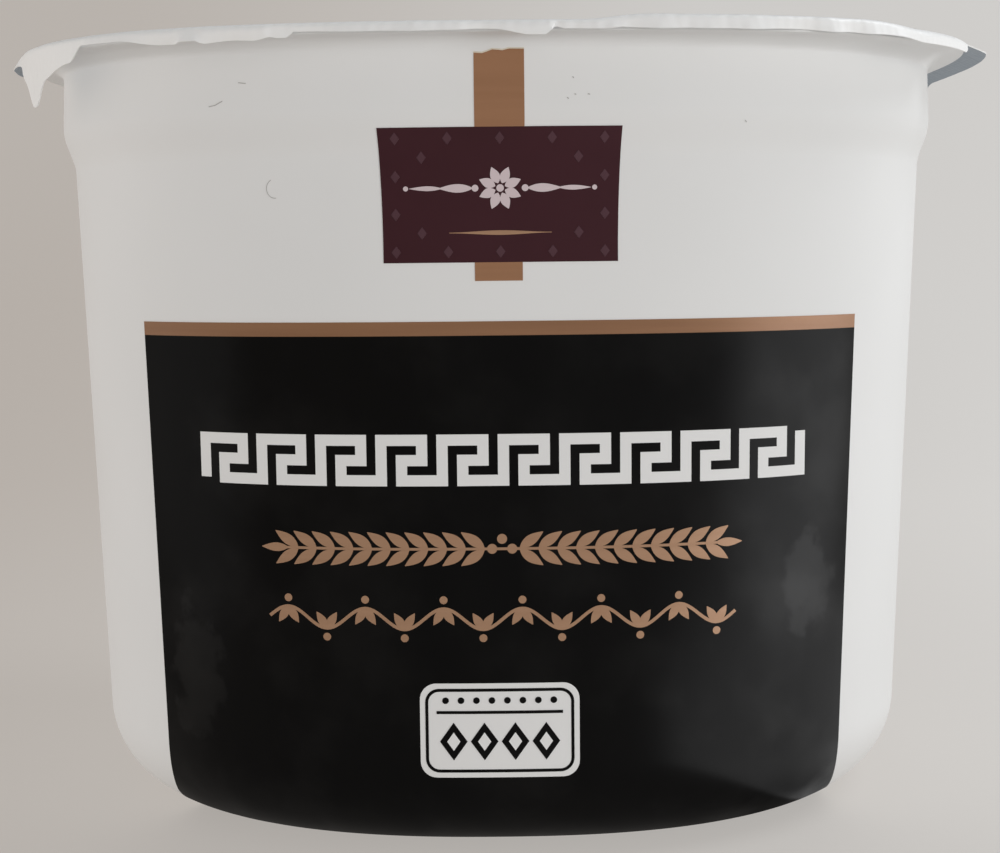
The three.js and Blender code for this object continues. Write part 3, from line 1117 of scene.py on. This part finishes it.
# Foot, length and width of the leaves on each side.
SIDE_LEAVES = [(2.4, 3.0, 0.75), (5.1, 2.9, 0.42)]
SIDE_BEAD_X = np.array([-8.3, -2.2, 2.2, 8.3])
SIDE_BEAD_RADIUS = np.array([0.22, 0.3, 0.3, 0.22])

petal_angle = (np.arange(ROSETTE_PETALS) + 0.5) * 2 * np.pi / ROSETTE_PETALS
petal_x = SEAL_SHIFT + PETAL_FOOT * np.cos(petal_angle)
petal_z = ROSETTE_MIDDLE + PETAL_FOOT * np.sin(petal_angle)
side_leaves = [
    leaves(SEAL_SHIFT + side * foot, ROSETTE_MIDDLE, np.pi if side < 0 else 0.0, length, width)
    for side in (-1, 1)
    for foot, length, width in SIDE_LEAVES
]
add_marks(
    "badge_rosette", "white_plastic", PALE_ROSE_INK,
    leaves(petal_x, petal_z, petal_angle, *PETAL),
    *side_leaves,
    beads(SEAL_SHIFT + SIDE_BEAD_X, ROSETTE_MIDDLE, SIDE_BEAD_RADIUS),
    beads(SEAL_SHIFT, ROSETTE_MIDDLE, ROSETTE_HEART),
)

# %% Gold line and painted highlight on the torn end
LINE_HALF = 4.5
LINE_RISE = 2.6  # above the badge's lower edge
LINE_END = 0.06  # width at its ends, and what it swells by in the middle
LINE_SWELL = 0.34
EDGE_HIGHLIGHT_WIDTH = 0.12

line_x = np.linspace(-LINE_HALF, LINE_HALF, 40)
line_path = np.stack([SEAL_SHIFT + line_x, np.full(len(line_x), badge_low + LINE_RISE)], -1)
line_width = LINE_END + LINE_SWELL * np.cos(line_x / (2 * LINE_HALF) * np.pi) ** 2
add_marks("badge_line", "gold_ink", PALE_GOLD_INK, stroke(line_path, line_width))

# A pale line along the ribbon's torn end is a painted highlight on its cut edge.
edge_highlight_path = np.stack([SEAL_SHIFT + TORN_AT * RIBBON_HALF, ribbon_high - TORN_FALL], -1)
add_marks("torn_edge_highlight", "white_plastic", PAINTED_EDGE_HIGHLIGHT, stroke(edge_highlight_path, EDGE_HIGHLIGHT_WIDTH))

# %% [markdown]
# ## Specks
# A pot that has been handled is never clean. A few dark specks and one hair cling to the wall. Each is
# a short stroke of its own, so that it stays put from every side.

# %% Specks and a hair
SPECK_WIDTH = 0.08
# Left and right end of each speck, as width and height on the wall.
SPECKS = [
    ((-22.7, 70.5), (-22.0, 70.4)),
    ((-25.5, 68.5), (-24.9, 68.6)),
    ((-24.9, 68.6), (-24.2, 68.95)),
    ((6.7, 70.5), (6.8, 70.35)),
    ((6.85, 69.0), (7.0, 68.95)),
    ((6.2, 68.7), (6.35, 68.6)),
    ((8.0, 69.0), (8.2, 68.95)),
    ((22.0, 66.75), (22.15, 66.6)),
]
HAIR_WIDTH = 0.06
HAIR_MIDDLE = (-19.7, 61.2)
HAIR_HALF = (0.75, 0.85)
SPECK_PROUD = 0.03


def dark_dust():
    finish = Finish("dark_dust")
    return finish.surface({
        "Base Color": finish.mix(finish.noise(0.3, 1), (0.36, 0.35, 0.34, 1), (0.50, 0.49, 0.48, 1)),
        "Roughness": 0.7 + 0.2 * finish.noise(0.2, 1),
    })


DARK_DUST = dark_dust()
hair_turn = np.linspace(0.15, 1.05, 14) * np.pi
hair_x = HAIR_MIDDLE[0] - HAIR_HALF[0] * np.sin(hair_turn)
hair_z = HAIR_MIDDLE[1] + HAIR_HALF[1] * np.cos(hair_turn)
add_marks(
    "specks", "black_ink", DARK_DUST,
    stroke(np.stack([hair_x, hair_z], -1), HAIR_WIDTH),
    *[stroke(np.array(ends), SPECK_WIDTH) for ends in SPECKS],
    low=-SPECK_PROUD, high=SPECK_PROUD,
)

# %% [markdown]
# ## Floor and light
# The pot stands on a plain pale ground that runs out of sight, and hardly casts a shadow on it. A floor
# that turns up all round, like a very wide dish, gives that ground from every side. It glows a little,
# like a light table, and more so at the right, which lifts the shadow and greys the left.

# %% Finish of the floor
GLOW_LEFT = (0.735, 0.665, 0.602, 1)
GLOW_RIGHT = (1.0, 0.985, 0.96, 1)
GLOW_STRENGTH = 0.485
# The glow changes between these places from left to right and, by a small share, between these heights.
GLOW_ACROSS = (-150, 150)
GLOW_UP = (20, 120)
GLOW_UP_SHARE = 0.15


def pale_ground():
    finish = Finish("pale_ground")
    upward_share = GLOW_UP_SHARE * finish.ramp(finish.along("Z"), *GLOW_UP)
    rightward = finish.ramp(finish.along("X"), *GLOW_ACROSS) + upward_share
    return finish.surface({
        "Base Color": finish.mix(finish.noise(120, 2), (0.194, 0.182, 0.170, 1), (0.206, 0.194, 0.182, 1)),
        "Roughness": 0.85 + 0.05 * finish.noise(3, 2),
        "Emission Color": finish.mix(rightward, GLOW_LEFT, GLOW_RIGHT),
        "Emission Strength": GLOW_STRENGTH,
    })


PALE_GROUND = pale_ground()

# %% Floor
FLOOR_COLUMNS = 96
FLOOR_RINGS = np.array([30.0, 60.0, 90.0, 130.0, 180.0])
FLOOR_FLAT = 240.0
FLOOR_TURN = 300.0

floor_profile = np.concatenate([
    np.stack([FLOOR_RINGS, np.zeros(len(FLOOR_RINGS))], -1),
    arc((FLOOR_FLAT, FLOOR_TURN), FLOOR_TURN, -90, 0, 16),
])
floor_angle = np.linspace(0, 2 * np.pi, FLOOR_COLUMNS, endpoint=False)
floor_rings = np.stack([
    floor_profile[:, :1] * np.cos(floor_angle),
    floor_profile[:, :1] * np.sin(floor_angle),
    floor_profile[:, 1:] + 0 * floor_angle,
], -1)
floor_points = np.concatenate([floor_rings.reshape(-1, 3), np.zeros((1, 3))])
floor_here = np.arange(FLOOR_COLUMNS)
floor_after = (floor_here + 1) % FLOOR_COLUMNS
floor_fan = np.stack([np.full(FLOOR_COLUMNS, len(floor_points) - 1), floor_here, floor_after], -1)
floor_faces = [grid_quads(len(floor_profile), FLOOR_COLUMNS, closed=True)[:, ::-1], floor_fan]
floor = add_mesh("floor", floor_points, floor_faces, [PALE_GROUND])
print("floor:", 2 * (FLOOR_FLAT + FLOOR_TURN), "mm across")

# %% [markdown]
# ## Lamps
# The light is soft and comes mostly from the right. A studio would hang large white sheets for it. Here
# most lamps are wide and light the pot alone, so that they leave no bright patch on the floor, and one
# wash from the right lights the floor too. Small cards are seen only by the varnish, as the soft sheen
# at the panel's sides. The fill from the left casts no shadow, or the foil's torn corner would darken
# the collar behind it.

# %% Lamps
WARM = (1.0, 0.98, 0.96)
NEUTRAL = (0.97, 0.985, 1.0)
COOL = (0.93, 0.965, 1.0)
# What a lamp lights, and whether it shows in mirror-like surfaces, in matt ones and as shadows.
WALL_LAMP = {"receivers": POT_PIECES, "glossy": False, "matt": True, "shadow": True}
FILL_LAMP = {"receivers": POT_PIECES, "glossy": False, "matt": True, "shadow": False}
WASH_LAMP = {"receivers": None, "glossy": True, "matt": True, "shadow": True}
CARD = {"receivers": VARNISHED_PIECES, "glossy": True, "matt": False, "shadow": True}
# Name, place, target, width and height in millimetres, power in watts, colour, and kind.
LAMPS = [
    ("front_low", (0, -370, 30), (0, 0, 60), (300, 60), 0.11, NEUTRAL, WALL_LAMP),
    ("front_right", (290, -250, 100), (0, 0, 45), (200, 110), 0.40, NEUTRAL, WALL_LAMP),
    ("front_left", (-290, -250, 100), (0, 0, 45), (200, 110), 0.195, NEUTRAL, FILL_LAMP),
    ("side_left", (-345, 10, 95), (0, 0, 50), (160, 120), 0.25, WARM, FILL_LAMP),
    ("back", (0, 350, 150), (0, 0, 40), (300, 150), 0.35, NEUTRAL, WALL_LAMP),
    ("top", (-60, 140, 330), (0, 0, 75), (260, 260), 0.13, NEUTRAL, WALL_LAMP),
    ("wash_right", (300, 60, 330), (240, 260, 0), (260, 260), 0.92, COOL, WASH_LAMP),
    ("card_right", (92, -58, 31), (27, -36, 30), (76, 62), 0.034, NEUTRAL, CARD),
    ("card_floor", (80, -46, 0.5), (80, -46, 100), (108, 108), 0.058, NEUTRAL, CARD),
    ("card_left", (-92, -50, 31), (-27, -36, 30), (60, 62), 0.004, NEUTRAL, CARD),
]
for name, place, target, (width, height), power, colour, kind in LAMPS:
    lamp = bpy.data.objects.new(name, bpy.data.lights.new(name, "AREA"))
    lamp.data.shape = "ELLIPSE"
    lamp.data.size = width * MM
    lamp.data.size_y = height * MM
    lamp.data.energy = power
    lamp.data.color = colour
    lamp.data.use_shadow = kind["shadow"]
    lamp.location = Vector(place) * MM
    lamp.rotation_euler = (Vector(target) - Vector(place)).to_track_quat("-Z", "Y").to_euler()
    lamp.visible_camera = False
    lamp.visible_diffuse = kind["matt"]
    lamp.visible_glossy = kind["glossy"]
    lamp.light_linking.receiver_collection = kind["receivers"]
    bpy.context.scene.collection.objects.link(lamp)
    print("lamp", name, power, "W")

# %% Sky
SKY_COLOUR = (0.96, 0.98, 1.0, 1)
SKY_STRENGTH = 0.272

world = bpy.data.worlds.new("sky")
world.use_nodes = True
world.node_tree.nodes["Background"].inputs["Color"].default_value = SKY_COLOUR
world.node_tree.nodes["Background"].inputs["Strength"].default_value = SKY_STRENGTH
bpy.context.scene.world = world
bpy.context.scene.view_settings.view_transform = "Standard"
print("sky strength:", SKY_STRENGTH)
